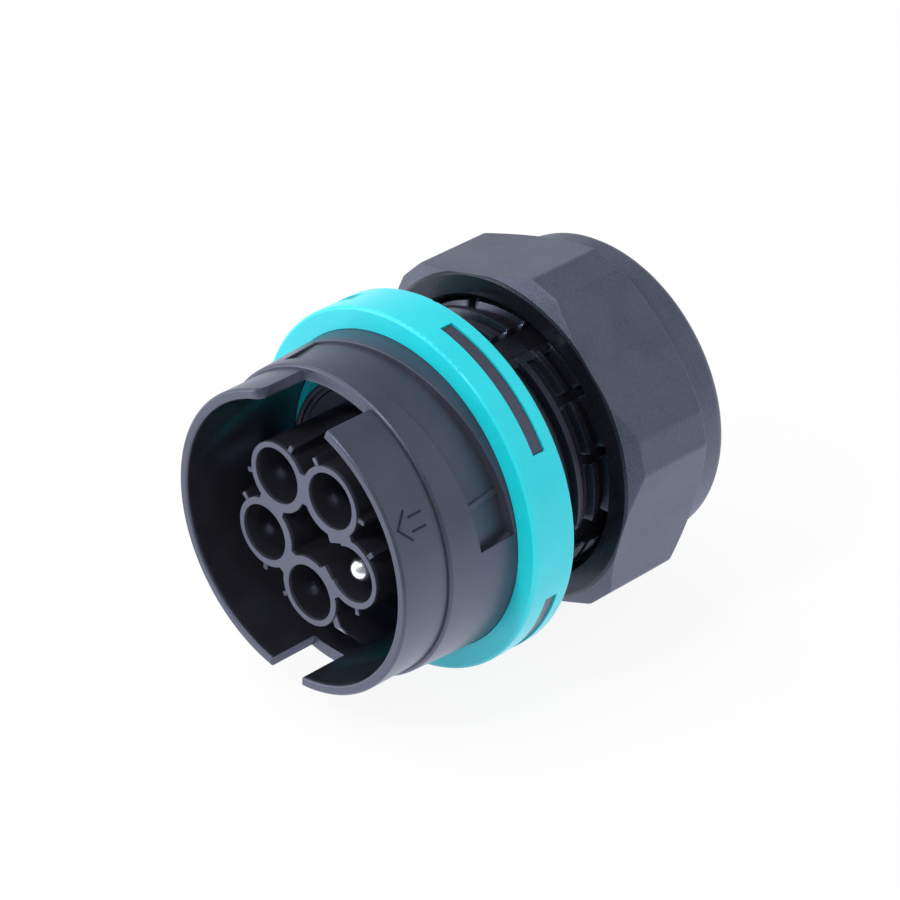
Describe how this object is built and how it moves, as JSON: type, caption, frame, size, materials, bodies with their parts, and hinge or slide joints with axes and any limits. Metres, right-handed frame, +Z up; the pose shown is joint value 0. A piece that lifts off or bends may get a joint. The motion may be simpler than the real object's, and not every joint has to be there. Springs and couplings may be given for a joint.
{
  "type": "circular panel socket",
  "caption": "Round panel-mount power socket with a keyed bayonet sleeve, shrouded contacts, a soft sealing ring, a threaded barrel and a hexagonal cap nut with a cable gland.",
  "frame": {"origin": "on the axis of the socket, in the plane where the panel's face meets the sealing ring", "axes": "+Y along the axis from the mating face to the cable end, +Z up through the wide key notch's side, +X to the right seen from the mating face"},
  "size_m": [0.0422, 0.0487, 0.0422],
  "materials": {
    "housing": "satin black moulded nylon",
    "insert": "satin black moulded nylon",
    "nut": "fine-grained matte black nylon",
    "seal": "satin teal elastomer",
    "gasket": "matte dark rubber",
    "contact": "silver plated",
    "screw": "zinc plated",
    "washer": "natural slippery plastic"
  },
  "bodies": {
    "socket": {"socket_body": "housing", "sealing_ring": "seal", "mating_seal": "seal", "contact_insert": "insert", "contact_carrier": "insert", "insert_gasket": "gasket", "line_contact_1": "contact", "line_contact_2": "contact", "line_contact_3": "contact", "line_contact_4": "contact", "earth_contact": "contact", "terminal_block": "insert", "terminal_screws": "screw", "retaining_ring": "screw"},
    "gland": {"slip_washer": "washer", "gland_seal": "gasket"},
    "nut": {"cap_nut": "nut"}
  },
  "joints": [
    {"name": "gland_slide", "type": "slide", "parent": "socket", "child": "gland", "axis": [0, 1, 0], "range_m": [-0.00871, 0.00541]},
    {"name": "nut_turn", "type": "hinge", "parent": "gland", "child": "nut", "pos_m": [0, 0.0183, 0], "axis": [0, 1, 0], "range_deg": [-1252.8, 777.6]}
  ],
  "couplings": [
    {"joint": "gland_slide", "follows": "nut_turn", "m_per_rad": 0.00039789}
  ]
}
